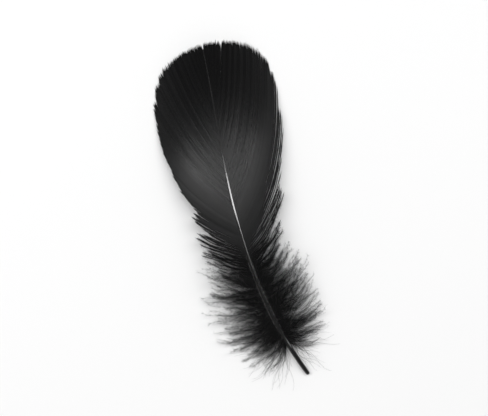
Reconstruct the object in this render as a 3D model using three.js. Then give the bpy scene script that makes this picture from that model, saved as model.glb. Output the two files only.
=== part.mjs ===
// One goose feather, dyed black, lying on a surface with its hollow side down.
// Millimetres, +Z up, +Y from the quill to the tip, +X to the right of the shaft.
// The origin is on the surface, under the middle of the feather.
//
// Barbs grow in one row down each side of the shaft. The lower ones are loose down,
// in deeply parted locks, and the upper ones hold together as a vane. So every piece
// beside the shaft is a sheet of barbs: its columns are barbs and its rows go out along them.
import * as THREE from "three";

// Overall form
const LENGTH = 130; // quill end to vane tip, straight
const QUILL_X = 3.93; // the quill's end, seen from above
const QUILL_Y = -LENGTH / 2;
const GAP = 0.2; // between the shaft and the barbs beside it

// Shaft: a bare quill whose end is on the surface, then a thinning shaft that bows and arches
const QUILL_REST = 0.583; // height of the axis at the quill's end
const QUILL_RADIUS = 0.85;
const QUILL_TIP_RADIUS = 0.45;
const QUILL_TIP_TAPER = 2.5;
const SHAFT_RADIUS = 0.72; // where the first barbs grow
const SHAFT_TIP_RADIUS = 0.12;
const SHAFT_END = LENGTH - 2;
const BOW_LOW = -16; // sideways pull of the lower and upper thirds of the shaft line
const BOW_HIGH = -4.5;
const ARCH = 8.2; // rise of the shaft above the quill's end
const ARCH_TOP = 0.64; // where the arch is highest, as a share of the length
const ARCH_LEFT_AT_TIP = 0.4; // share of the arch that is left at the tip
const SHAFT_SIDES = 10;
const SHAFT_RINGS = 48;
const QUILL_TIP_RINGS = 4;

// Vane: the barbs that hold together, and the outline that their tips reach
const VANE_FOOT = 40; // from the quill's end to the lowest barb of the vane
const VANE_LAST = LENGTH - 2.2; // the highest barb
const VANE_WIDEST = { left: 109, right: 104 };
const VANE_NARROW = 31; // where the outline would meet the shaft
const VANE_HALF_WIDTH = { left: 22.8, right: 25.4 };
const TIP_BLUNTNESS = 2.7; // power of the rounded tip: 2 is an ellipse, more is blunter
const FOOT_POWER = { left: 1.1, right: 0.85 }; // of the outline's rise from the foot: less is fuller
const CUP = { left: 0.0135, right: 0.0112 }; // droop of the barbs, per millimetre squared
const LOOSE_REACH = 21; // length of the vane's lowest barbs, which hang loose past the outline
const LOOSE_LAST = 60; // from here up the barbs hold together
const VANE_THICKNESS = 0.4;
const VANE_EDGE_THICKNESS = 0.2;

// Down: the loose barbs below the vane
const DOWN_FOOT = 12.5;
const DOWN_LAST = VANE_FOOT - 0.4;
const DOWN_REACH = { foot: 15, middle: 24, top: 21 }; // barb lengths
const DOWN_THICKNESS = 1.7;
const DOWN_EDGE_THICKNESS = 0.5;
const DOWN_CLEARANCE = 0.35; // between the down and the surface
const DOWN_SAG = 0.012; // extra droop of the soft barbs, per millimetre squared

// Barbs: their angle to the shaft at the foot and the tip, and how fast they sweep forwards
const ANGLE_FOOT = THREE.MathUtils.degToRad(106);
const ANGLE_TIP = THREE.MathUtils.degToRad(7);
const ANGLE_FALL = 1.75;
const TURN_BACK = THREE.MathUtils.degToRad(40); // extra turn of the very lowest barbs
const TURN_BACK_RUN = 10; // length of shaft over which it fades
const SWEEP = 46; // length over which a barb's angle falls to about a third
const BARB_STEP = 0.4; // step when a barb is followed out to the outline

// Locks: barbs that lie together, parted from the next ones by a notch
const COLUMNS_PER_LOCK = 4;
const VANE_LOCKS = 18;
const VANE_ROWS = 8;
const VANE_NOTCH = 0.008; // depth of a notch as a share of the barb
const LOOSE_NOTCH = 0.5; // at the vane's foot
const SPLIT_NOTCH = 0.05; // where the vane has come apart
const SPLITS = { left: [6], right: [12] }; // numbers of the parted locks
const DOWN_LOCKS = 13;
const DOWN_ROWS = 6;
const DOWN_NOTCH = 0.55;
const LOCK_RIDGE = { vane: 0.12, down: 0.5 }; // how far a lock's middle stands up
const LOCK_LIFT = { vane: 0.15, down: 3 }; // how far the most raised lock's end stands up
const LOCK_UNEVENNESS = { vane: 0.01, down: 0.2 }; // spread of the locks' lengths

const SIDES = { left: -1, right: 1 };
const { lerp, clamp } = THREE.MathUtils;

const keratin = (name, color, roughness) =>
  new THREE.MeshStandardMaterial({ name, color, roughness, metalness: 0 });
const SHAFT_MATERIAL = keratin("shaft", 0x1a1a1c, 0.3);
const VANE_MATERIAL = keratin("vane", 0x1d1d1f, 0.55);
const DOWN_MATERIAL = keratin("down", 0x222224, 0.85);

// A number from 0 to 1 that stays the same for the same lock.
function chance(number) {
  const wave = Math.sin(number * 12.9898 + 4.1414) * 43758.5453;
  return wave - Math.floor(wave);
}

// Sideways place of the shaft line, a cubic in the distance from the quill's end.
function shaftX(along) {
  const t = along / LENGTH;
  return QUILL_X + 3 * (1 - t) ** 2 * t * BOW_LOW + 3 * (1 - t) * t ** 2 * BOW_HIGH;
}

// Height of the shaft's axis: up from the quill's end over the arch, and down to the tip.
function shaftZ(along) {
  const t = along / LENGTH;
  const rise = 1 - Math.max(0, 1 - t / ARCH_TOP) ** 2;
  const past = Math.max(0, (t - ARCH_TOP) / (1 - ARCH_TOP));
  return QUILL_REST + ARCH * (rise - (1 - ARCH_LEFT_AT_TIP) * past ** 2);
}

function shaftRadius(along) {
  if (along < DOWN_FOOT) {
    const tip = Math.min(1, along / QUILL_TIP_TAPER);
    return lerp(QUILL_TIP_RADIUS, QUILL_RADIUS, Math.sqrt(tip * (2 - tip)));
  }
  const t = Math.min(1, (along - DOWN_FOOT) / (SHAFT_END - DOWN_FOOT));
  return lerp(SHAFT_RADIUS, SHAFT_TIP_RADIUS, t);
}

// Half width of the vane's outline on one side of the shaft.
function halfWidth(side, along) {
  if (along >= LENGTH) return 0;
  const widest = VANE_WIDEST[side];
  if (along > widest) {
    const t = (along - widest) / (LENGTH - widest);
    return VANE_HALF_WIDTH[side] * (1 - t ** TIP_BLUNTNESS) ** (1 / TIP_BLUNTNESS);
  }
  const t = Math.max(0, (along - VANE_NARROW) / (widest - VANE_NARROW));
  return VANE_HALF_WIDTH[side] * Math.sin((Math.PI / 2) * t ** FOOT_POWER[side]);
}

// Direction of the shaft seen from above.
function shaftDirection(along) {
  const step = 0.5;
  return new THREE.Vector2(shaftX(along + step) - shaftX(along - step), 2 * step).normalize();
}

// Where a barb starts, beside the shaft, and the turn that it makes with the shaft there.
function barbRoot(side, along) {
  const forward = shaftDirection(along);
  const outward = new THREE.Vector2(forward.y, -forward.x).multiplyScalar(SIDES[side]);
  const start = new THREE.Vector2(shaftX(along), along);
  start.addScaledVector(outward, shaftRadius(along) + GAP);
  const t = (along - DOWN_FOOT) / (LENGTH - DOWN_FOOT);
  const back = TURN_BACK * Math.max(0, 1 - (along - DOWN_FOOT) / TURN_BACK_RUN) ** 2;
  const angle = lerp(ANGLE_TIP, ANGLE_FOOT, (1 - t) ** ANGLE_FALL) + back;
  return { start, forward, outward, angle };
}

// The barb's line seen from above, as points BARB_STEP apart, for as long as keepOn says.
function barbLine(side, along, keepOn) {
  const { start, forward, outward, angle } = barbRoot(side, along);
  const line = [start.clone()];
  const point = start.clone();
  for (let run = 0; keepOn(point, run); run += BARB_STEP) {
    const turn = angle * Math.exp(-run / SWEEP);
    point.addScaledVector(forward, Math.cos(turn) * BARB_STEP);
    point.addScaledVector(outward, Math.sin(turn) * BARB_STEP);
    line.push(point.clone());
  }
  return line;
}

// The point at a share of a line, between its stored points.
function pointAt(line, share) {
  const place = clamp(share, 0, 1) * (line.length - 1);
  const before = Math.min(Math.floor(place), line.length - 2);
  return line[before].clone().lerp(line[before + 1], place - before);
}

function vaneLine(side, along) {
  const least = along < LOOSE_LAST ? LOOSE_REACH : 2 * BARB_STEP;
  const inside = (p) => Math.abs(p.x - shaftX(p.y)) < halfWidth(side, p.y);
  return barbLine(side, along, (p, run) => run < least || inside(p));
}

function downReach(along) {
  const t = (along - DOWN_FOOT) / (DOWN_LAST - DOWN_FOOT);
  const { foot, middle, top } = DOWN_REACH;
  return t < 0.5 ? lerp(foot, middle, Math.sin(Math.PI * t)) : lerp(top, middle, Math.sin(Math.PI * t));
}

function downLine(side, along) {
  const reach = downReach(along);
  return barbLine(side, along, (p, run) => run < reach);
}

// Height of the cupped surface that the barbs lie in.
function surfaceZ(point, cup) {
  const beside = point.x - shaftX(point.y);
  return shaftZ(point.y) - cup * beside ** 2;
}

// Distance of a ring of the shaft from the quill's end: closer together over the rounded end.
function ringPlace(ring) {
  if (ring <= QUILL_TIP_RINGS) return QUILL_TIP_TAPER * (ring / QUILL_TIP_RINGS) ** 1.5;
  return lerp(QUILL_TIP_TAPER, SHAFT_END, (ring - QUILL_TIP_RINGS) / (SHAFT_RINGS - QUILL_TIP_RINGS));
}

// Closed mesh of the shaft: a cylinder whose rings follow the shaft line and thin towards the tip.
function makeShaft() {
  const geometry = new THREE.CylinderGeometry(1, 1, 1, SHAFT_SIDES, SHAFT_RINGS);
  // Turned by half a side, so that a flat facet is underneath.
  geometry.rotateY(Math.PI / SHAFT_SIDES);
  const facet = Math.cos(Math.PI / SHAFT_SIDES);
  const position = geometry.getAttribute("position");
  for (let i = 0; i < position.count; i++) {
    const along = ringPlace(Math.round((position.getY(i) + 0.5) * SHAFT_RINGS));
    const forward = shaftDirection(along);
    const radius = shaftRadius(along) / facet;
    const beside = position.getX(i) * radius;
    const above = position.getZ(i) * radius;
    position.setXYZ(
      i,
      shaftX(along) + forward.y * beside,
      QUILL_Y + along - forward.x * beside,
      shaftZ(along) + above,
    );
  }
  return named("shaft", geometry, SHAFT_MATERIAL);
}

// How far a column of a lock reaches, as a share of its barb, and how high its ridge is.
function lockShape(column, notchOf, unevenness, seed) {
  const lock = Math.floor(column / COLUMNS_PER_LOCK);
  const phase = (column % COLUMNS_PER_LOCK) / COLUMNS_PER_LOCK;
  const off = Math.abs(2 * phase - 1); // 1 at the notches, 0 in the middle of the lock
  const notch = phase === 0 ? Math.max(notchOf(lock - 1), notchOf(lock)) : notchOf(lock);
  const length = 1 - unevenness * chance(lock + seed);
  const reach = phase === 0 ? 1 - notch : length * (1 - notch * off ** 2);
  return { reach, ridge: 1 - off, lift: (1 - off) * chance(3 * lock + seed) };
}

// Closed mesh of a sheet of barbs. Each column is a barb and each row a share of its length.
function makeSheet(name, side, material, sheet) {
  const columns = sheet.locks * COLUMNS_PER_LOCK;
  const barbs = [];
  for (let column = 0; column <= columns; column++) {
    const along = lerp(sheet.first, sheet.last, column / columns);
    barbs.push({
      line: sheet.line(side, along),
      ...lockShape(column, sheet.notchOf, sheet.unevenness, sheet.seed),
    });
  }
  const geometry = new THREE.BoxGeometry(1, 1, 1, columns, sheet.rows, 1);
  const position = geometry.getAttribute("position");
  for (let i = 0; i < position.count; i++) {
    // The right side runs down the shaft, so that its faces point out as the left side's do.
    const across = SIDES[side] < 0 ? position.getX(i) + 0.5 : 0.5 - position.getX(i);
    const out = position.getY(i) + 0.5;
    const barb = barbs[Math.round(across * columns)];
    const point = pointAt(barb.line, out * barb.reach);
    const thickness = lerp(sheet.thickness, sheet.edge, out);
    const middle = Math.max(surfaceZ(point, sheet.cup), sheet.lowest + thickness / 2);
    const raised = sheet.ridge * barb.ridge * out + sheet.lift * barb.lift * out ** 2;
    position.setXYZ(i, point.x, QUILL_Y + point.y, middle + raised + position.getZ(i) * thickness);
  }
  return named(name, geometry, material);
}

// Depth of the notch beside a lock of the vane.
function vaneNotch(side, lock) {
  if (SPLITS[side].includes(lock)) return SPLIT_NOTCH;
  const along = lerp(VANE_FOOT, VANE_LAST, Math.max(0, lock) / VANE_LOCKS);
  const loose = Math.max(0, (LOOSE_LAST - along) / (LOOSE_LAST - VANE_FOOT));
  return lerp(VANE_NOTCH, LOOSE_NOTCH, loose ** 2);
}

function makeVane(side) {
  return makeSheet(`${side}_vane`, side, VANE_MATERIAL, {
    first: VANE_FOOT,
    last: VANE_LAST,
    locks: VANE_LOCKS,
    rows: VANE_ROWS,
    line: vaneLine,
    notchOf: (lock) => vaneNotch(side, lock),
    unevenness: LOCK_UNEVENNESS.vane,
    ridge: LOCK_RIDGE.vane,
    thickness: VANE_THICKNESS,
    edge: VANE_EDGE_THICKNESS,
    cup: CUP[side],
    lift: LOCK_LIFT.vane,
    lowest: 0,
    seed: SIDES[side] * 31,
  });
}

function makeDown(side) {
  return makeSheet(`${side}_down`, side, DOWN_MATERIAL, {
    first: DOWN_FOOT,
    last: DOWN_LAST,
    locks: DOWN_LOCKS,
    rows: DOWN_ROWS,
    line: downLine,
    notchOf: () => DOWN_NOTCH,
    unevenness: LOCK_UNEVENNESS.down,
    ridge: LOCK_RIDGE.down,
    thickness: DOWN_THICKNESS,
    edge: DOWN_EDGE_THICKNESS,
    cup: DOWN_SAG,
    lift: LOCK_LIFT.down,
    lowest: DOWN_CLEARANCE,
    seed: SIDES[side] * 17,
  });
}

function named(name, geometry, material) {
  geometry.computeVertexNormals();
  const mesh = new THREE.Mesh(geometry, material);
  mesh.name = name;
  return mesh;
}

const feather = new THREE.Group();
feather.name = "goose_feather";
feather.add(makeShaft());
for (const side of Object.keys(SIDES)) {
  feather.add(makeVane(side));
  feather.add(makeDown(side));
}

export default feather;
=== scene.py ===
import math

import bmesh
import bpy
import numpy as np
from mathutils import Matrix, Vector


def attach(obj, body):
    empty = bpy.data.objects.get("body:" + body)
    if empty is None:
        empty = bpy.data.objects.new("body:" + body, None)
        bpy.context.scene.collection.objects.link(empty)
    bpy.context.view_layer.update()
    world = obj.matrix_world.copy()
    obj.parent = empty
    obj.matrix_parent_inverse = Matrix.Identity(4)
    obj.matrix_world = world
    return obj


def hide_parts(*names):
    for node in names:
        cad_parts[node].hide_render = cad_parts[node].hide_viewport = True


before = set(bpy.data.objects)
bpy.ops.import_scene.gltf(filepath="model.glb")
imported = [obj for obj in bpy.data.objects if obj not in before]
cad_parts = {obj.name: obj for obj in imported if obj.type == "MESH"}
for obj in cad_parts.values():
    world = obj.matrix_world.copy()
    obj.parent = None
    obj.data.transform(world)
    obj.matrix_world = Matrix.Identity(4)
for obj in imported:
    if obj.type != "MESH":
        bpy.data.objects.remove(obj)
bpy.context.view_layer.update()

# Shaft. The feather's horny stem, dyed black with the rest of it: a bare hollow quill whose end
# is on the surface, then a solid shaft that bows to the left, arches and thins to a hair.
# It grew in one piece, smooth and glossy on top, with a groove along its underside.

# Sizes are in millimetres, and places along the feather are counted from the quill's end.
MM = 0.001
LENGTH = 130.0
QUILL_X, QUILL_Y, QUILL_REST = 3.93, -LENGTH / 2, 0.583
QUILL_RADIUS, QUILL_TIP_RADIUS, QUILL_TIP_TAPER = 0.85, 0.45, 2.5
FIRST_BARB = 12.5
QUILL_TO_SHAFT = 4.0
SHAFT_RADIUS, SHAFT_TIP_RADIUS, SHAFT_END = 0.72, 0.12, LENGTH - 2
POINT_LENGTH, POINT_RADIUS = 0.15, 0.03
BOW_LOW, BOW_HIGH = -16.0, -4.5
ARCH, ARCH_TOP, ARCH_LEFT_AT_TIP = 8.2, 0.64, 0.4
SQUARING = 0.10
GROOVE_DEPTH, GROOVE_HALF_ANGLE = 0.34, 0.42
GROOVE_START, GROOVE_RUN = 14.0, 14.0
SHAFT_SIDES, SHAFT_RINGS, FIRST_SHAFT_RING = 28, 110, 3.6
MANY_CORNERS = 100000
# Place and radius of the rings inside the quill's hole, then the places of those over its rim.
HOLE_RINGS = [(1.4, 0.10), (1.0, 0.16), (0.3, 0.19), (0.05, 0.24), (0.0, 0.31)]
QUILL_RINGS = [0.06, 0.2, 0.45, 0.9, 1.6, 2.5]
# The thick lower shaft is hard and polished, and the fine upper one is duller.
POLISHED_TO, DULL_FROM = 54.0, 77.0
POLISHED, DULL = 0.05, 0.17
FIBRE_STRETCH = (2600, 160, 2600)
FIBRE_DEPTH = 0.05
HORN_DARK, HORN_LIGHT = (0.003, 0.003, 0.0033, 1), (0.012, 0.0115, 0.0115, 1)


def shaft_x(along):
    """How far the shaft is to the right, on a curve that one pull bows low and another high."""
    t = np.asarray(along) / LENGTH
    return QUILL_X + 3 * (1 - t) ** 2 * t * BOW_LOW + 3 * (1 - t) * t**2 * BOW_HIGH


def shaft_z(along):
    """Height of the shaft's middle, which rises to the top of its arch and sinks past it."""
    t = np.asarray(along) / LENGTH
    rise = 1 - np.maximum(0, 1 - t / ARCH_TOP) ** 2
    past = np.maximum(0, (t - ARCH_TOP) / (1 - ARCH_TOP))
    return QUILL_REST + ARCH * (rise - (1 - ARCH_LEFT_AT_TIP) * past**2)


def shaft_radius(along):
    """Radius of the quill, and above the first barb of the shaft."""
    along = np.asarray(along, float)
    end = np.clip(along / QUILL_TIP_TAPER, 0, 1)
    quill = QUILL_TIP_RADIUS + (QUILL_RADIUS - QUILL_TIP_RADIUS) * np.sqrt(end * (2 - end))
    way_up = np.clip((along - FIRST_BARB) / (SHAFT_END - FIRST_BARB), 0, 1)
    shaft = SHAFT_RADIUS + (SHAFT_TIP_RADIUS - SHAFT_RADIUS) * way_up
    near = np.clip((along - FIRST_BARB) / QUILL_TO_SHAFT + 0.5, 0, 1)
    near = near * near * (3 - 2 * near)
    return quill * (1 - near) + shaft * near


def shaft_forward(along):
    """The shaft's direction seen from above."""
    across = shaft_x(np.asarray(along) + 0.5) - shaft_x(np.asarray(along) - 0.5)
    return np.stack([across, np.ones_like(across)], -1) / np.hypot(across, 1)[..., None]


def first_and_last_corner(part):
    """A number that orders edges or faces by their lowest corner number, then by their highest."""
    numbers = [corner.index for corner in part.verts]
    return min(numbers) * MANY_CORNERS + max(numbers)


def ringed_tube(rings):
    """A closed tube with a radius of 1, whose rings are 1 apart in height."""
    tube = bmesh.new()
    bmesh.ops.create_circle(tube, segments=SHAFT_SIDES, radius=1.0)
    rim = tube.edges[:]
    for _ in range(rings - 1):
        made = bmesh.ops.extrude_edge_only(tube, edges=rim)["geom"]
        corners = [part for part in made if isinstance(part, bmesh.types.BMVert)]
        edges = [part for part in made if isinstance(part, bmesh.types.BMEdge)]
        rim = [edge for edge in edges if set(edge.verts) <= set(corners)]
        bmesh.ops.translate(tube, verts=corners, vec=(0, 0, 1))
    bmesh.ops.holes_fill(tube, edges=[edge for edge in tube.edges if edge.is_boundary], sides=0)
    # Edges and faces in a fixed order, by their first and last corners, so that every run is the same.
    tube.verts.index_update()
    for parts in (tube.edges, tube.faces):
        parts.sort(key=first_and_last_corner)
    return tube


def grown_shaft():
    """The shaft's mesh, from inside the hole in the quill's end, out over its rim, and up to the tip."""
    outside = QUILL_RINGS + list(np.linspace(FIRST_SHAFT_RING, SHAFT_END, SHAFT_RINGS))
    rings = HOLE_RINGS + [(along, float(shaft_radius(along))) for along in outside]
    rings.append((SHAFT_END + POINT_LENGTH, POINT_RADIUS))
    tube = ringed_tube(len(rings))
    for corner in tube.verts:
        along, radius = rings[round(corner.co.z)]
        turn = math.atan2(corner.co.y, corner.co.x)
        # Where barbs grow, the shaft is squarer, with a groove underneath.
        barbed = min(1.0, max(0.0, (along - GROOVE_START) / GROOVE_RUN))
        below = math.exp(-(((turn + math.pi / 2) / GROOVE_HALF_ANGLE) ** 2))
        radius *= 1 - barbed * (SQUARING * math.cos(2 * turn) ** 2 + GROOVE_DEPTH * below)
        beside = radius * math.cos(turn)
        forward = shaft_forward(along)
        corner.co = (
            MM * (float(shaft_x(along)) + forward[1] * beside),
            MM * (QUILL_Y + along - forward[0] * beside),
            MM * max(0.0, float(shaft_z(along)) + radius * math.sin(turn)),
        )
    bmesh.ops.recalc_face_normals(tube, faces=tube.faces)
    for face in tube.faces:
        face.smooth = True
    mesh = bpy.data.meshes.new("shaft")
    tube.to_mesh(mesh)
    tube.free()
    return mesh


def new_piece(name, mesh, material, node):
    """A finished piece of the feather, in place of the node that it dresses."""
    piece = bpy.data.objects.new(name, mesh)
    bpy.context.scene.collection.objects.link(piece)
    mesh.materials.append(material)
    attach(piece, "root")
    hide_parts(node)


def new_material(name):
    """A new material, its node tree and its shader."""
    material = bpy.data.materials.new(name)
    material.use_nodes = True
    return material, material.node_tree, material.node_tree.nodes["Principled BSDF"]


def fill(tree, node, **inputs):
    """Fills inputs of a node, named with _ for a space. A socket is linked, and the rest is constant."""
    for name, value in inputs.items():
        socket = next(
            entry
            for entry in node.inputs
            if name in (entry.identifier, entry.name.replace(" ", "_"))
        )
        if isinstance(value, bpy.types.NodeSocket):
            tree.links.new(value, socket)
        else:
            socket.default_value = value


def add_node(tree, kind, group=None, **inputs):
    """A new shader node with its inputs filled. A node of the kind Group places that group."""
    node = tree.nodes.new("ShaderNode" + kind)
    if group:
        node.node_tree = group
    fill(tree, node, **inputs)
    return node


def new_dye():
    """Black dye that took unevenly: as Tone goes from Low to High, Dark turns to Light."""
    dye = bpy.data.node_groups.new("uneven_dye", "ShaderNodeTree")
    for name in ("Tone", "Low", "High"):
        dye.interface.new_socket(name, in_out="INPUT", socket_type="NodeSocketFloat")
    for name in ("Dark", "Light"):
        dye.interface.new_socket(name, in_out="INPUT", socket_type="NodeSocketColor")
    dye.interface.new_socket("Color", in_out="OUTPUT", socket_type="NodeSocketColor")
    given = dye.nodes.new("NodeGroupInput").outputs
    share = add_node(dye, "MapRange", Value=given["Tone"], From_Min=given["Low"], From_Max=given["High"])
    mix = add_node(dye, "Mix", Factor_Float=share.outputs["Result"])
    mix.data_type = "RGBA"
    fill(dye, mix, A_Color=given["Dark"], B_Color=given["Light"])
    mixed = next(socket for socket in mix.outputs if socket.identifier == "Result_Color")
    fill(dye, dye.nodes.new("NodeGroupOutput"), Color=mixed)
    return dye


uneven_dye = new_dye()
horn, horn_nodes, horn_shader = new_material("black_horn")
on_shaft = add_node(horn_nodes, "TexCoord").outputs["Object"]
stretched = add_node(horn_nodes, "Mapping", Vector=on_shaft, Scale=FIBRE_STRETCH)
fibres = add_node(horn_nodes, "TexNoise", Vector=stretched.outputs["Vector"], Scale=1.0, Detail=4.0)
fibre_lines = add_node(horn_nodes, "Bump", Height=fibres.outputs["Fac"])
fill(horn_nodes, fibre_lines, Strength=0.12, Distance=MM * FIBRE_DEPTH)
horn_dye = add_node(horn_nodes, "Group", uneven_dye, Tone=fibres.outputs["Fac"], Low=0.3, High=0.75)
fill(horn_nodes, horn_dye, Dark=HORN_DARK, Light=HORN_LIGHT)
up_shaft = add_node(horn_nodes, "SeparateXYZ", Vector=on_shaft)
polish = add_node(horn_nodes, "MapRange", Value=up_shaft.outputs["Y"], To_Min=POLISHED, To_Max=DULL)
fill(horn_nodes, polish, From_Min=MM * (QUILL_Y + POLISHED_TO), From_Max=MM * (QUILL_Y + DULL_FROM))
fill(horn_nodes, horn_shader, Base_Color=horn_dye.outputs["Color"], Normal=fibre_lines.outputs["Normal"])
fill(horn_nodes, horn_shader, Roughness=polish.outputs["Result"])
fill(horn_nodes, horn_shader, IOR=1.56, Coat_Weight=0.3, Coat_Roughness=0.045)
new_piece("feather_shaft", grown_shaft(), horn, "shaft")


# Vanes. On each side of the shaft grows a row of barbs, thin flat blades of the same dyed horn,
# each hooked to the next by its barbules, so that they make one silky cupped sheet. They part in
# a few places, fray into a short fringe at the tip, and come loose and fluffy near the down.
SIDES = {"left": -1, "right": 1}
VANE_SEED = {"left": 11, "right": 12}
VANE_FOOT, VANE_LAST, VANE_NARROW = 40.0, LENGTH - 2.2, 31.0
VANE_WIDEST = {"left": 109.0, "right": 104.0}
VANE_HALF_WIDTH = {"left": 22.8, "right": 25.4}
TIP_BLUNTNESS = 2.7
FOOT_POWER = {"left": 1.1, "right": 0.85}
CUP = {"left": 0.0135, "right": 0.0112}
SLOPE_STEP, TINY = 0.2, 1e-9
VANE_CLEARANCE = 0.26
# A barb's line: where it leaves the shaft, its angle there, and how it sweeps towards the tip.
ROOT_DEPTH = 0.8
ANGLE_FOOT, ANGLE_TIP, ANGLE_FALL = math.radians(106), math.radians(7), 1.75
TURN_BACK, TURN_BACK_RUN = math.radians(40), 10.0
SWEEP = 46.0
VANE_STEP, VANE_STEPS, STEPS_AT_ROOT = 0.2, 330, 3
LINE_END = 0.001
# Locks along the vane's edge, and the splits between some of them.
VANE_LOCKS, COLUMNS_PER_LOCK, VANE_LOCK_SEED = 18, 4, 31
VANE_NOTCH, LOOSE_NOTCH, SPLIT_NOTCH = 0.008, 0.5, 0.05
VANE_RIDGE, VANE_LIFT, VANE_UNEVENNESS = 0.12, 0.15, 0.01
SPLITS = {"left": [6], "right": [12]}
LOCK_TURN, SPLIT_TURN, STIFF_ROOT = 0.0008, 0.005, 4.0
CHANCE_STEP, CHANCE_START, CHANCE_STRETCH = 12.9898, 4.1414, 43758.5453
# What changes as barbs come loose: its value where they are hooked, what is added where they are
# loose, and the power that shapes the change.
LOOSE_LAST, LOOSE_REACH, LOOSENING, LOOSE_SHORTER = 60.0, 21.0, 1.5, 0.22
BARB_TURN = (0.001, 0.12, 1.8)
BARB_WAVE, BARB_WAVE_LENGTH = (0.001, 0.25, 1.6), (9, 15)
BARB_HEIGHT, BARB_HEIGHT_POWER = (0.012, 0.5, 1.2), 1.5
BARB_WIDTH = (1.0, -0.7, 0.7)
# Blades: how they fill the room between their neighbours, lie like roof slats, and end.
VANE_BARBS, BLADE_RINGS, RING_CROWDING = 230, 20, 0.9
SHORTEST_BARB, FRAY, STRAY_TIP, STRAY_SHARE = 1.5, 0.3, 0.6, 0.2
ROOT_RISE, ROOT_RISE_FALL = 0.3, 6
NEIGHBOURS, BLADE_FILL, WIDEST_ROOM = 2, 0.85, 0.7
FREE_END, FREE_TAPER = (0.8, 2.6), 0.7
BLADE_THICKNESS, BLADE_BELLY = 0.05, 0.6
FINEST_HALF_WIDTH, FINEST_THICKNESS = 0.018, 0.012
BLADE_TILT, ALONE_TILT = 0.10, 0.05
DRIFT_TILT, DRIFT_WIDTH = 0.035, 9
PAIR_TILT, PAIR_WIDTH = 0.0611, 3
# Looks: the tone of barbs, how dull they are towards the down, and the fluff on loose ones.
BARB_TONE, FLUFF_TONE = (0.5, 0.16), 0.4
DULL_BELOW, DULL_RUN, DULL_LOST_AT_TIP = 66.0, 22.0, 0.3
FLUFF_MOST, FLUFF_RISE, FLUFF_POWER = 620, 1.6, 0.7
FLUFF_SPREAD, FLUFF_LENGTH_POWER = 0.6, 0.4
VANE_FLUFF = {
    "along": (0.04, 0.95),
    "crowding": 1.4,
    "opening": (0.5, 1.1),
    "length": (0.7, 2.4),
    "shorter_at_tip": 0.0,
    "sunk": 0.08,
    "lowest": 0.1,
    "radius": 0.018,
}
SILK_DARK, SILK_LIGHT = (0.0007, 0.0007, 0.0008, 1), (0.0036, 0.0036, 0.0038, 1)
# The map that the finish is baked on: blades below and fluff above, each with a cell of its own.
BLADE_STRIP, FLUFF_STRIP = (0.0, 0.86), (0.868, 0.998)
CELL_MARGIN, CAP_CELL = 0.1, 1e-4
BLADE_SIDES, NEEDLE_SIDES, NEEDLE_CORNERS = 4, 3, 4
NEEDLE_FACES = np.array([[0, 1, 3], [1, 2, 3], [2, 0, 3], [2, 1, 0]])
NEEDLE_CELL = np.array(
    [
        [[0.05, 0.05], [0.35, 0.05], [0.2, 0.95]],
        [[0.37, 0.05], [0.67, 0.05], [0.52, 0.95]],
        [[0.69, 0.05], [0.95, 0.05], [0.82, 0.95]],
        [[0.30, 0.90], [0.36, 0.90], [0.33, 0.96]],
    ]
)
NEARLY_UPRIGHT = 0.9


def half_width(side, along):
    """How far the vane's outline is from the shaft: a blunt tip over a foot that narrows."""
    widest = VANE_WIDEST[side]
    over = np.clip((along - widest) / (LENGTH - widest), 0, 1)
    under = np.clip((along - VANE_NARROW) / (widest - VANE_NARROW), 0, 1)
    tip = (1 - over**TIP_BLUNTNESS) ** (1 / TIP_BLUNTNESS)
    foot = np.sin(math.pi / 2 * under ** FOOT_POWER[side])
    return VANE_HALF_WIDTH[side] * np.where(along > widest, tip, foot)


def chance(number):
    """A value from 0 to 1 for each whole number, always the same."""
    wave = np.sin(np.asarray(number, float) * CHANCE_STEP + CHANCE_START) * CHANCE_STRETCH
    return wave - np.floor(wave)


def unit(vectors):
    """The directions of vectors, each 1 long."""
    return vectors / np.maximum(np.linalg.norm(vectors, axis=-1, keepdims=True), TINY)


def barb_paths(side, roots, bend, step):
    """Lines of barbs seen from above, with a point at each step. bend is added to their direction."""
    forward = shaft_forward(roots)
    outward = np.stack([forward[:, 1], -forward[:, 0]], -1) * SIDES[side]
    start = np.stack([shaft_x(roots), roots], -1) + outward * (shaft_radius(roots) * ROOT_DEPTH)[:, None]
    way_up = np.clip((roots - FIRST_BARB) / (LENGTH - FIRST_BARB), 0, 1)
    angle = ANGLE_TIP + (ANGLE_FOOT - ANGLE_TIP) * (1 - way_up) ** ANGLE_FALL
    angle += TURN_BACK * np.maximum(0, 1 - (roots - FIRST_BARB) / TURN_BACK_RUN) ** 2
    run = np.arange(bend.shape[-1]) * step
    turn = angle[:, None] * np.exp(-run / SWEEP) + bend
    moves = np.cos(turn)[..., None] * forward[:, None] + np.sin(turn)[..., None] * outward[:, None]
    return np.concatenate([start[:, None], start[:, None] + np.cumsum(moves * step, 1)], 1)


def along_paths(paths, step, runs):
    """Points at the given runs, one row of runs for each path."""
    place = np.clip(runs / step, 0, paths.shape[1] - 1 - LINE_END)
    low = place.astype(int)
    part = (place - low)[..., None]
    rows = np.arange(len(paths))[:, None]
    return paths[rows, low] * (1 - part) + paths[rows, low + 1] * part


def sway(rng, barbs, lengths, run):
    """Waves along barbs: where each one starts in its wave, and its swing at each step."""
    start = rng.uniform(0, 2 * math.pi, (barbs, 1))
    length = rng.uniform(*lengths, (barbs, 1))
    return start, np.sin(start + run / length * 2 * math.pi)


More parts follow.
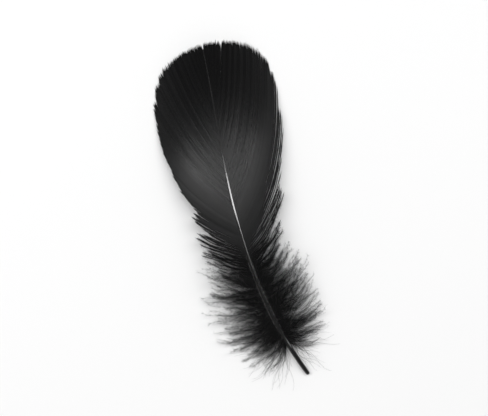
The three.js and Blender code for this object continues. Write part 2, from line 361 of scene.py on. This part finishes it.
def lock_shape(column, locks, notch_of, unevenness, seed):
    """Share of its length that each barb reaches, its height on the lock's ridge, and its lift."""
    whole = np.arange(locks * COLUMNS_PER_LOCK + 1)
    lock = whole // COLUMNS_PER_LOCK
    phase = (whole % COLUMNS_PER_LOCK) / COLUMNS_PER_LOCK
    off = np.abs(2 * phase - 1)
    notch = np.array([notch_of(number) for number in lock])
    before = np.array([notch_of(number - 1) for number in lock])
    length = 1 - unevenness * chance(lock + seed)
    reach = np.where(phase == 0, 1 - np.maximum(notch, before), length * (1 - notch * off**2))
    lift = (1 - off) * chance(3 * lock + seed)
    return tuple(np.interp(column, whole, measure) for measure in (reach, 1 - off, lift))


def cupped(cup, points):
    """Height and upward direction of the cupped surface that barbs lie in."""
    x, y = points[..., 0], points[..., 1]
    beside = x - shaft_x(y)
    rise = (shaft_z(y + SLOPE_STEP) - shaft_z(y - SLOPE_STEP)) / (2 * SLOPE_STEP)
    bow = (shaft_x(y + SLOPE_STEP) - shaft_x(y - SLOPE_STEP)) / (2 * SLOPE_STEP)
    up = np.stack([2 * cup * beside, -(rise + 2 * cup * beside * bow), np.ones_like(x)], -1)
    return shaft_z(y) - cup * beside**2, unit(up)


def raised(flat, height, lowest):
    """Points seen from above, put at their height but no lower than the lowest."""
    return np.concatenate([flat, np.maximum(height, lowest)[..., None]], -1)


def blade_cells(rows, rings):
    """Map cells of blades: a column for each, with strips for its sides and spots for its ends."""
    row, ring, side = np.indices((rows, rings - 1, BLADE_SIDES))
    left = (row + (side + CELL_MARGIN) / BLADE_SIDES) / rows
    right = (row + (side + 1 - CELL_MARGIN) / BLADE_SIDES) / rows
    low = ring / (rings - 1)
    high = (ring + 1) / (rings - 1)
    sides = np.stack([left, low, right, low, right, high, left, high], -1).reshape(-1, 4, 2)
    ends = np.zeros((2, rows, 4, 2))
    ends[..., 0] = (np.arange(rows)[:, None] + 0.5) / rows + CAP_CELL * np.array([0, 1, 1, 0])
    ends[..., 1] = CAP_CELL * np.array([0, 0, 1, 1])
    ends[1, ..., 1] += 1 - 2 * CAP_CELL
    return np.concatenate([sides, ends.reshape(-1, 4, 2)])


def blades(centre, up, half, thick, tilt):
    """Closed blades along rows of centre points, like low roofs: corners, faces and map cells."""
    along = unit(np.gradient(centre, axis=1))
    across = unit(np.cross(up, along))
    above = np.cross(along, across)
    edge = half[..., None] * (across + tilt[..., None] * above)
    roof = thick[..., None] * above
    corners = np.stack([centre - edge, centre - BLADE_BELLY * roof, centre + edge, centre + roof], 2)
    rows, rings = half.shape
    number = np.arange(rows * rings * BLADE_SIDES).reshape(rows, rings, BLADE_SIDES)
    turned = np.roll(number, -1, 2)
    sides = np.stack([number[:, :-1], turned[:, :-1], turned[:, 1:], number[:, 1:]], -1)
    faces = np.concatenate([sides.reshape(-1, BLADE_SIDES), number[:, 0, ::-1], number[:, -1]])
    return corners.reshape(-1, 3), faces, blade_cells(rows, rings)


def needles(root, tip, radius):
    """Closed three-sided needles from root points to tip points: corners, faces and map cells."""
    count = len(root)
    way = unit(tip - root)
    helper = np.where(np.abs(way[:, 2:]) < NEARLY_UPRIGHT, [[0.0, 0.0, 1.0]], [[1.0, 0.0, 0.0]])
    beside = unit(np.cross(way, helper))
    above = np.cross(way, beside)
    turns = np.arange(NEEDLE_SIDES)[:, None] * 2 * math.pi / NEEDLE_SIDES
    base = root[:, None] + radius * (np.cos(turns) * beside[:, None] + np.sin(turns) * above[:, None])
    corners = np.concatenate([base, tip[:, None]], 1).reshape(-1, 3)
    faces = NEEDLE_CORNERS * np.arange(count)[:, None, None] + NEEDLE_FACES
    wide = math.ceil(math.sqrt(count))
    cell = np.stack([np.arange(count) % wide, np.arange(count) // wide], -1)
    cells = (cell[:, None, None] + NEEDLE_CELL) / wide
    return corners, faces.reshape(-1, 3), cells.reshape(-1, 3, 2)


def barbules(rng, barbs, across, up, owner, spread, scale, fluff):
    """Needles that grow on both sides of barbs and open towards their tips, one for each owner."""
    count = len(owner)
    where = rng.uniform(*fluff["along"], count) ** fluff["crowding"]
    place = where * (barbs.shape[1] - 1)
    low = np.minimum(place.astype(int), barbs.shape[1] - 2)
    part = (place - low)[:, None]
    here = barbs[owner, low]
    onward = barbs[owner, low + 1]
    above = up[owner, low]
    root = here * (1 - part) + onward * part - fluff["sunk"] * above
    spin = rng.normal(0, 1, count) * spread + math.pi * rng.integers(0, 2, count)
    opening = rng.uniform(*fluff["opening"], count)
    length = rng.uniform(*fluff["length"], count) * (1 - fluff["shorter_at_tip"] * where) * scale
    sideways = np.cos(spin)[:, None] * across[owner, low] + np.sin(spin)[:, None] * above
    way = np.cos(opening)[:, None] * unit(onward - here) + np.sin(opening)[:, None] * sideways
    tip = root + length[:, None] * way
    tip[:, 2] = np.maximum(tip[:, 2], fluff["lowest"])
    return needles(root, tip, fluff["radius"])


def joined_mesh(name, parts):
    """One mesh from parts, each with its shape, strip of the map, tone and dullness."""
    shapes, strips, tones, dullness = zip(*parts)
    corners = np.concatenate([shape[0] for shape in shapes])
    counts = [len(shape[0]) for shape in shapes]
    starts = np.cumsum([0] + counts)
    loops = np.concatenate([(shape[1] + start).ravel() for shape, start in zip(shapes, starts)])
    sizes = np.concatenate([np.full(len(shape[1]), shape[1].shape[1]) for shape in shapes])
    cells = [shape[2] * [1, high - low] + [0, low] for shape, (low, high) in zip(shapes, strips)]
    mesh = bpy.data.meshes.new(name)
    mesh.vertices.add(len(corners))
    mesh.vertices.foreach_set("co", ((corners + [0, QUILL_Y, 0]) * MM).ravel())
    mesh.loops.add(len(loops))
    mesh.loops.foreach_set("vertex_index", loops)
    mesh.polygons.add(len(sizes))
    mesh.polygons.foreach_set("loop_start", np.cumsum(sizes) - sizes)
    mesh.update(calc_edges=True)
    mesh.polygons.foreach_set("use_smooth", np.ones(len(sizes), bool))
    baked_map = mesh.uv_layers.new(name="OFBake")
    baked_map.data.foreach_set("uv", np.concatenate([cell.ravel() for cell in cells]))
    for finish, values in (("tone", tones), ("matte", dullness)):
        on_corners = [np.broadcast_to(value, count) for value, count in zip(values, counts)]
        mesh.attributes.new(finish, "FLOAT", "POINT")
        mesh.attributes[finish].data.foreach_set("value", np.concatenate(on_corners))
    return mesh


def sharpen_blades(mesh, corners, rings):
    """Keeps a mesh's first blades sharp along their edges and ends, so each shades as a low roof."""
    ends = np.empty(2 * len(mesh.edges), int)
    mesh.edges.foreach_get("vertices", ends)
    ends = ends.reshape(-1, 2)
    corner, ring = ends % BLADE_SIDES, ends // BLADE_SIDES % rings
    edge_line = (corner % 2 == 0).all(1) & (corner[:, 0] == corner[:, 1])
    end_line = (ring[:, 0] == ring[:, 1]) & np.isin(ring[:, 0], [0, rings - 1])
    sharp = mesh.attributes.new("sharp_edge", "BOOLEAN", "EDGE")
    sharp.data.foreach_set("value", (edge_line | end_line) & (ends < corners).all(1))


def by_looseness(loose, hooked, more, power):
    """A measure of each barb that changes as barbs come loose, as a column."""
    return (hooked + more * loose**power)[:, None]


def vane_notch(side, lock):
    """How deep the notch beside a lock is, as a share of the barbs' length."""
    if lock in SPLITS[side]:
        return SPLIT_NOTCH
    along = VANE_FOOT + (VANE_LAST - VANE_FOOT) * max(0, lock) / VANE_LOCKS
    loose = max(0.0, (LOOSE_LAST - along) / (LOOSE_LAST - VANE_FOOT))
    return VANE_NOTCH + (LOOSE_NOTCH - VANE_NOTCH) * loose**2


def vane_bend(rng, side, loose, column, run):
    """Turns of barbs off their lines: hooked ones sway together by locks, and loose ones alone."""
    place = column / COLUMNS_PER_LOCK
    lock = np.minimum(place, VANE_LOCKS - 1).astype(int)
    together = rng.normal(0, LOCK_TURN, VANE_LOCKS)[lock]
    together += np.where(np.isin(lock, SPLITS[side]), SPLIT_TURN * (place - lock - 1), 0)
    alone = rng.normal(0, 1, (VANE_BARBS, 1)) * by_looseness(loose, *BARB_TURN)
    wave = sway(rng, VANE_BARBS, BARB_WAVE_LENGTH, run)[1] * by_looseness(loose, *BARB_WAVE)
    return (together[:, None] + alone + wave) * np.minimum(1, run / STIFF_ROOT)


def vane_reach(rng, side, roots, loose, plain, share):
    """Length of each barb: its share of the way to the vane's outline, with a frayed end."""
    inside = np.abs(plain[..., 0] - shaft_x(plain[..., 1])) < half_width(side, plain[..., 1])
    inside[:, :STEPS_AT_ROOT] = True
    reach = np.argmin(inside, 1) * VANE_STEP
    reach = np.where(roots < LOOSE_LAST, np.maximum(reach, LOOSE_REACH), reach)
    fray = rng.normal(0, FRAY, VANE_BARBS)
    fray += rng.choice([0, STRAY_TIP], VANE_BARBS, p=[1 - STRAY_SHARE, STRAY_SHARE])
    fray -= rng.uniform(0, LOOSE_SHORTER, VANE_BARBS) * loose * reach
    return np.maximum(SHORTEST_BARB, reach * share + fray)


def room_beside(plain, runs, across):
    """Room that each barb has between its neighbours, at the given runs."""
    number = np.arange(VANE_BARBS)
    before = np.maximum(number - NEIGHBOURS, 0)
    after = np.minimum(number + NEIGHBOURS, VANE_BARBS - 1)
    apart = along_paths(plain[after], VANE_STEP, runs) - along_paths(plain[before], VANE_STEP, runs)
    return np.abs((apart * across[..., :2]).sum(-1)) / (after - before)[:, None]


def alike(rng, width):
    """A chance value for each barb, alike over a width of barbs."""
    values = rng.normal(0, 1, VANE_BARBS + width - 1)
    return np.convolve(values, np.ones(width) / math.sqrt(width), "valid")


def grown_vane(side):
    """One vane's mesh: its barbs as blades, and the fluff on the loose ones."""
    rng = np.random.default_rng(VANE_SEED[side])
    roots = np.linspace(VANE_FOOT, VANE_LAST, VANE_BARBS)
    loose = np.clip((LOOSE_LAST - roots) / (LOOSE_LAST - VANE_FOOT), 0, 1) ** LOOSENING
    column = (roots - VANE_FOOT) / (VANE_LAST - VANE_FOOT) * VANE_LOCKS * COLUMNS_PER_LOCK
    run = np.arange(VANE_STEPS) * VANE_STEP
    paths = barb_paths(side, roots, vane_bend(rng, side, loose, column, run), VANE_STEP)
    plain = barb_paths(side, roots, 0 * run, VANE_STEP)
    share, ridge, lift = lock_shape(
        column,
        VANE_LOCKS,
        lambda lock: vane_notch(side, lock),
        VANE_UNEVENNESS,
        SIDES[side] * VANE_LOCK_SEED,
    )
    reach = vane_reach(rng, side, roots, loose, plain, share)[:, None]
    out = np.linspace(0, 1, BLADE_RINGS) ** RING_CROWDING
    runs = reach * out
    flat = along_paths(paths, VANE_STEP, runs)
    height, up = cupped(CUP[side], flat)
    height += VANE_RIDGE * ridge[:, None] * out + VANE_LIFT * lift[:, None] * out**2
    height += ROOT_RISE * shaft_radius(roots)[:, None] * (1 - out) ** ROOT_RISE_FALL
    stray = rng.normal(0, 1, (VANE_BARBS, 1)) * by_looseness(loose, *BARB_HEIGHT)
    height += stray * out**BARB_HEIGHT_POWER
    centre = raised(flat, height, VANE_CLEARANCE)
    across = unit(np.cross(up, unit(np.gradient(centre, axis=1))))
    # Each blade is as wide as the room between its neighbours, and thins over its free end.
    half = BLADE_FILL * np.minimum(room_beside(plain, runs, across), WIDEST_ROOM)
    free = np.clip((reach - runs) / rng.uniform(*FREE_END, (VANE_BARBS, 1)), 0, 1)
    half = np.maximum(half * by_looseness(loose, *BARB_WIDTH) * free**FREE_TAPER, FINEST_HALF_WIDTH)
    thick = np.maximum(BLADE_THICKNESS * np.sqrt(free), FINEST_THICKNESS)
    tilt = SIDES[side] * BLADE_TILT + DRIFT_TILT * alike(rng, DRIFT_WIDTH)
    tilt += PAIR_TILT * alike(rng, PAIR_WIDTH) + rng.normal(0, ALONE_TILT, VANE_BARBS)
    barbs = blades(centre, up, half, thick, tilt[:, None] * np.ones_like(half))
    tone = np.repeat(rng.normal(*BARB_TONE, VANE_BARBS), BLADE_RINGS * BLADE_SIDES)
    dull = np.clip((DULL_BELOW - roots) / DULL_RUN, 0, 1)[:, None] * (1 - DULL_LOST_AT_TIP * out)
    dull = np.repeat(dull.ravel(), BLADE_SIDES)
    # Fluff on the loose barbs, thickest near the shaft and the down.
    many = (np.minimum(1, FLUFF_RISE * loose) ** FLUFF_POWER * FLUFF_MOST).astype(int)
    owner = np.repeat(np.arange(VANE_BARBS), many)
    spread = FLUFF_SPREAD * loose[owner]
    scale = loose[owner] ** FLUFF_LENGTH_POWER
    fluff = barbules(rng, centre, across, up, owner, spread, scale, VANE_FLUFF)
    parts = [(barbs, BLADE_STRIP, tone, dull), (fluff, FLUFF_STRIP, FLUFF_TONE, 1)]
    mesh = joined_mesh(f"{side}_vane", parts)
    sharpen_blades(mesh, len(barbs[0]), BLADE_RINGS)
    return mesh


def mesh_value(tree, name):
    """A value that a mesh holds for each of its corners."""
    node = add_node(tree, "Attribute")
    node.attribute_name = name
    return node.outputs["Fac"]


silk, silk_nodes, silk_shader = new_material("black_silky_barbs")
on_vane = add_node(silk_nodes, "TexCoord").outputs["Object"]
patches = add_node(silk_nodes, "TexNoise", Vector=on_vane, Scale=160.0, Detail=3.0)
streaks = mesh_value(silk_nodes, "tone")
mottled = add_node(silk_nodes, "Mix", Factor_Float=0.5, A_Float=streaks, B_Float=patches.outputs["Fac"])
silk_tone = mottled.outputs["Result"]
silk_dye = add_node(silk_nodes, "Group", uneven_dye, Tone=silk_tone, Low=0.25, High=0.75)
fill(silk_nodes, silk_dye, Dark=SILK_DARK, Light=SILK_LIGHT)
gloss = add_node(silk_nodes, "MapRange", Value=silk_tone, From_Min=0.2, From_Max=0.8)
fill(silk_nodes, gloss, To_Min=0.30, To_Max=0.24)
dulled = add_node(silk_nodes, "MapRange", Value=mesh_value(silk_nodes, "matte"), To_Max=0.75)
fill(silk_nodes, dulled, To_Min=gloss.outputs["Result"])
fill(silk_nodes, silk_shader, Base_Color=silk_dye.outputs["Color"], Roughness=dulled.outputs["Result"])
fill(silk_nodes, silk_shader, IOR=1.5, Specular_IOR_Level=0.185, Sheen_Weight=0.02, Sheen_Roughness=0.35)
for side in SIDES:
    new_piece(f"feather_{side}_vane", grown_vane(side), silk, f"{side}_vane")


# Down. The barbs below the vanes have no hooks: they are soft, wavy threads with long fine
# barbules all along them, which spring apart into a fluffy cloud on each side of the quill.
# They gather in locks, and a few wisps curl back past the quill's end.
DOWN_SEED = {"left": 21, "right": 22}
DOWN_LAST = VANE_FOOT - 0.4
DOWN_REACH = {"foot": 15.0, "middle": 24.0, "top": 21.0}
DOWN_CLEARANCE, DOWN_LOFT, DOWN_SAG = 0.35, 0.5, 0.012
DOWN_STEP, DOWN_STEPS = 0.25, 130
DOWN_LOCKS, DOWN_NOTCH, DOWN_LOCK_SEED, LAST_LOCK_END = 13, 0.55, 17, 0.9999
DOWN_RIDGE, DOWN_LIFT, DOWN_UNEVENNESS = 0.5, 3.0, 0.2
GATHERING = 0.3
# Threads: how each strays from its line, turns, waves, curls and differs in length and height.
DOWN_BARBS, DOWN_RINGS = 130, 15
ROOT_STRAY, THREAD_TURN, DOWN_LOCK_TURN, SOFT_ROOT = 0.1, 0.19, 0.06, 3.0
THREAD_WAVE, THREAD_WAVE_LENGTH, THREAD_CURL = (0.15, 0.5), (6, 16), 0.3
THREAD_LENGTH = (0.85, 1.1)
THREAD_HEIGHT, THREAD_HEIGHT_POWER = 0.9, 1.3
RIPPLE_HEIGHT, RIPPLE_TURN, RIPPLE_START = 0.25, 5.0, 3.0
THREAD_RADIUS, THREAD_TAPER, THREAD_TONE = 0.045, 0.75, 0.35
# Barbules: fewer and shorter ones on the lowest threads, so that the cloud thins out on the quill.
BARBULES, FULL_FROM, FEWEST, SHORTEST = 325, 0.16, 0.3, 0.45
BARBULE_SPREAD, BARBULE_TONE = 0.7, (0.2, 0.9)
DOWN_FLUFF = {
    "along": (0.02, 1.0),
    "crowding": 1.2,
    "opening": (0.45, 1.25),
    "length": (1.2, 4.4),
    "shorter_at_tip": 0.65,
    "sunk": 0.0,
    "lowest": 0.08,
    "radius": 0.017,
}
WISPS, WISP_RADIUS, WISP_TAPER = 84, 0.048, 0.7
WISP_LENGTH, WISP_BACK, WISP_BACK_AT_FOOT = (8.0, 20.0), (0.1, 0.85), 1.2
WISP_WAVE, WISP_WAVE_LENGTH, WISP_ROOT = (0.2, 0.6), (8, 20), 4.0
WISP_RISE, WISP_RISE_POWER = (-0.3, 2.2), 1.5
THREAD_STRIP, WISP_STRIP, BARBULE_STRIP = (0.0, 0.2), (0.2, 0.25), (0.255, 0.995)
DOWN_DARK, DOWN_LIGHT = (0.0022, 0.0022, 0.0024, 1), (0.013, 0.013, 0.0135, 1)


def down_lines(rng, side, roots, way_up, run, out):
    """Centre points of the down's threads, and the upward direction at each."""
    lock = np.minimum(way_up * DOWN_LOCKS, DOWN_LOCKS - 1).astype(int)
    turn = rng.normal(0, THREAD_TURN, (DOWN_BARBS, 1))
    turn += rng.normal(0, DOWN_LOCK_TURN, (DOWN_LOCKS, 1))[lock]
    start, wave = sway(rng, DOWN_BARBS, THREAD_WAVE_LENGTH, run)
    wave *= rng.uniform(*THREAD_WAVE, (DOWN_BARBS, 1))
    curl = rng.normal(0, THREAD_CURL, (DOWN_BARBS, 1)) * (run / DOWN_REACH["middle"]) ** 2
    paths = barb_paths(side, roots, (turn + wave + curl) * np.minimum(1, run / SOFT_ROOT), DOWN_STEP)
    end = np.where(way_up < 0.5, DOWN_REACH["foot"], DOWN_REACH["top"])
    reach = end + (DOWN_REACH["middle"] - end) * np.sin(math.pi * way_up)
    column = np.clip(way_up, 0, LAST_LOCK_END) * DOWN_LOCKS * COLUMNS_PER_LOCK
    share, ridge, lift = lock_shape(
        column,
        DOWN_LOCKS,
        lambda lock: DOWN_NOTCH,
        DOWN_UNEVENNESS,
        SIDES[side] * DOWN_LOCK_SEED,
    )
    runs = (reach * share * rng.uniform(*THREAD_LENGTH, DOWN_BARBS))[:, None] * out
    # Threads of one lock draw together towards its middle.
    middle = FIRST_BARB + (lock + 0.5) / DOWN_LOCKS * (DOWN_LAST - FIRST_BARB)
    gathered = along_paths(barb_paths(side, middle, 0 * run, DOWN_STEP), DOWN_STEP, runs)
    pull = (GATHERING * out**2)[:, None]
    flat = along_paths(paths, DOWN_STEP, runs) * (1 - pull) + gathered * pull
    height, up = cupped(DOWN_SAG, flat)
    height = np.maximum(height, DOWN_CLEARANCE + DOWN_LOFT)
    height += DOWN_RIDGE * ridge[:, None] * out + DOWN_LIFT * lift[:, None] * out**2
    height += rng.normal(0, THREAD_HEIGHT, (DOWN_BARBS, 1)) * out**THREAD_HEIGHT_POWER
    height += np.sin(start * RIPPLE_START + out * RIPPLE_TURN) * RIPPLE_HEIGHT * out
    return raised(flat, height, DOWN_CLEARANCE), up


def wisp_lines(rng, side, run, out):
    """Centre points of wisps among the lowest threads, each curling its own way, and their up."""
    roots = rng.uniform(FIRST_BARB, FIRST_BARB + TURN_BACK_RUN, WISPS)
    up_quill = (roots[:, None] - FIRST_BARB) / TURN_BACK_RUN
    back = rng.uniform(*WISP_BACK, (WISPS, 1)) * (WISP_BACK_AT_FOOT - up_quill)
    wave = sway(rng, WISPS, WISP_WAVE_LENGTH, run)[1]
    wave *= rng.uniform(*WISP_WAVE, (WISPS, 1))
    paths = barb_paths(side, roots, (back + wave) * np.minimum(1, run / WISP_ROOT), DOWN_STEP)
    flat = along_paths(paths, DOWN_STEP, rng.uniform(*WISP_LENGTH, (WISPS, 1)) * out)
    height, up = cupped(DOWN_SAG, flat)
    height = np.maximum(height, DOWN_CLEARANCE)
    height += rng.uniform(*WISP_RISE, (WISPS, 1)) * out**WISP_RISE_POWER
    return raised(flat, height, DOWN_CLEARANCE), up


def threads(centre, up, radius, taper, out):
    """Fine closed threads along rows of centre points."""
    thickness = radius * (1 - taper * out) * np.ones((len(centre), 1))
    return blades(centre, up, thickness, thickness, 0 * thickness)


def grown_down(side):
    """One side's down: threads, the barbules on them, and bare wisps."""
    rng = np.random.default_rng(DOWN_SEED[side])
    roots = np.linspace(FIRST_BARB, DOWN_LAST, DOWN_BARBS) + rng.normal(0, ROOT_STRAY, DOWN_BARBS)
    way_up = np.clip((roots - FIRST_BARB) / (DOWN_LAST - FIRST_BARB), 0, 1)
    run = np.arange(DOWN_STEPS) * DOWN_STEP
    out = np.linspace(0, 1, DOWN_RINGS)
    lines, up = down_lines(rng, side, roots, way_up, run, out)
    way = unit(np.diff(lines, axis=1))
    across = unit(np.cross(up[:, :-1], way))
    full = np.clip(way_up / FULL_FROM, 0, 1)
    owner = np.repeat(np.arange(DOWN_BARBS), (BARBULES * (FEWEST + (1 - FEWEST) * full)).astype(int))
    scale = SHORTEST + (1 - SHORTEST) * full[owner]
    fluff = barbules(rng, lines, across, np.cross(way, across), owner, BARBULE_SPREAD, scale, DOWN_FLUFF)
    wisps = threads(*wisp_lines(rng, side, run, out), WISP_RADIUS, WISP_TAPER, out)
    fluff_tone = np.repeat(rng.uniform(*BARBULE_TONE, len(owner)), NEEDLE_CORNERS)
    parts = [
        (threads(lines, up, THREAD_RADIUS, THREAD_TAPER, out), THREAD_STRIP, THREAD_TONE, 1),
        (wisps, WISP_STRIP, THREAD_TONE, 1),
        (fluff, BARBULE_STRIP, fluff_tone, 1),
    ]
    return joined_mesh(f"{side}_down", parts)


fuzz, fuzz_nodes, fuzz_shader = new_material("black_down")
fuzz_tone = mesh_value(fuzz_nodes, "tone")
fuzz_dye = add_node(fuzz_nodes, "Group", uneven_dye, Tone=fuzz_tone, Low=0.1, High=0.95)
fill(fuzz_nodes, fuzz_dye, Dark=DOWN_DARK, Light=DOWN_LIGHT)
fill(fuzz_nodes, fuzz_shader, Base_Color=fuzz_dye.outputs["Color"], Roughness=0.7, IOR=1.5)
fill(fuzz_nodes, fuzz_shader, Specular_IOR_Level=0.16, Sheen_Weight=0.02, Sheen_Roughness=0.5)
for side in SIDES:
    new_piece(f"feather_{side}_down", grown_down(side), fuzz, f"{side}_down")


# Floor. The plain pale paper that the feather lies on: one flat matte sheet, which isn't part
# of the feather and reaches well past it on every side.
FLOOR_REACH = 0.7
PAPER_WHITE = (0.88, 0.88, 0.88, 1)

paper, paper_nodes, paper_shader = new_material("pale_paper")
fill(paper_nodes, paper_shader, Base_Color=PAPER_WHITE, Roughness=0.85, IOR=1.45)
sheet = bmesh.new()
bmesh.ops.create_grid(sheet, x_segments=1, y_segments=1, size=FLOOR_REACH)
floor_mesh = bpy.data.meshes.new("floor")
sheet.to_mesh(floor_mesh)
sheet.free()
floor_mesh.materials.append(paper)
floor = bpy.data.objects.new("floor", floor_mesh)
bpy.context.scene.collection.objects.link(floor)


# Light and camera. Three soft boxes side by side in an arch over the vane, so that its cupped
# width shines evenly at the top of its curve and falls dark towards its tip, among pale walls.
# The camera looks down on the feather, which lies turned a little to the left.
ARCH_OVER, ARCH_AHEAD, ARCH_TURN = 1.11, 0.187, math.radians(-6.5)
BOX_WIDTH, BOX_DEPTH, BOX_SPREAD = 0.764, 0.14, math.radians(38)
BOX_POWER = {-1: 5.1, 0: 4.6, 1: 4.1}
WALL_LIGHT, WALL_TOP = 0.9, 0.1
CEILING_LIGHT, CEILING_EDGE = 0.08, 0.75
LEAN, LOOK_DOWN, EYE_DISTANCE = math.radians(17.6), math.radians(78), 0.50
LOOKED_AT = Vector((0, 0, 0.004))
LENS, FILM_WIDTH = 100, 36


def put_facing(name, data, place, looked_at, rightwards):
    """A light or camera at a place, facing a point, with its right-hand side where it is told."""
    backwards = (place - looked_at).normalized()
    right = (rightwards - backwards * rightwards.dot(backwards)).normalized()
    up = backwards.cross(right)
    thing = bpy.data.objects.new(name, data)
    thing.matrix_world = Matrix((right, up, backwards)).transposed().to_4x4()
    thing.location = place
    bpy.context.scene.collection.objects.link(thing)
    return thing


arch_turn = Matrix.Rotation(ARCH_TURN, 3, "Z")
for number, power in BOX_POWER.items():
    box = bpy.data.lights.new(f"soft_box_{number + 2}", "AREA")
    box.shape = "RECTANGLE"
    box.size, box.size_y, box.energy = BOX_WIDTH, BOX_DEPTH, power
    roll = Matrix.Rotation(number * BOX_SPREAD, 3, "Y")
    box_place = arch_turn @ (roll @ Vector((0, 0, ARCH_OVER)) + Vector((0, ARCH_AHEAD, 0)))
    put_facing(box.name, box, box_place, Vector(), arch_turn @ roll @ Vector((1, 0, 0)))

# Pale walls all round, under a dark ceiling.
studio = bpy.data.worlds.new("studio")
bpy.context.scene.world = studio
studio.use_nodes = True
studio_nodes = studio.node_tree
sight = add_node(studio_nodes, "TexCoord").outputs["Generated"]
upwards = add_node(studio_nodes, "SeparateXYZ", Vector=sight).outputs["Z"]
fade = add_node(studio_nodes, "MapRange", Value=upwards, From_Min=WALL_TOP, From_Max=CEILING_EDGE)
fill(studio_nodes, fade, To_Min=WALL_LIGHT, To_Max=CEILING_LIGHT)
fill(studio_nodes, studio_nodes.nodes["Background"], Color=(1, 1, 1, 1), Strength=fade.outputs["Result"])
bpy.context.scene.view_settings.view_transform = "Standard"

camera = bpy.data.cameras.new("camera")
camera.lens, camera.sensor_width = LENS, FILM_WIDTH
away = Vector((0, -math.cos(LOOK_DOWN), math.sin(LOOK_DOWN))) * EYE_DISTANCE
lean = Matrix.Rotation(-LEAN, 3, "Z")
bpy.context.scene.camera = put_facing(
    "camera", camera, LOOKED_AT + lean @ away, LOOKED_AT, lean @ Vector((1, 0, 0))
)
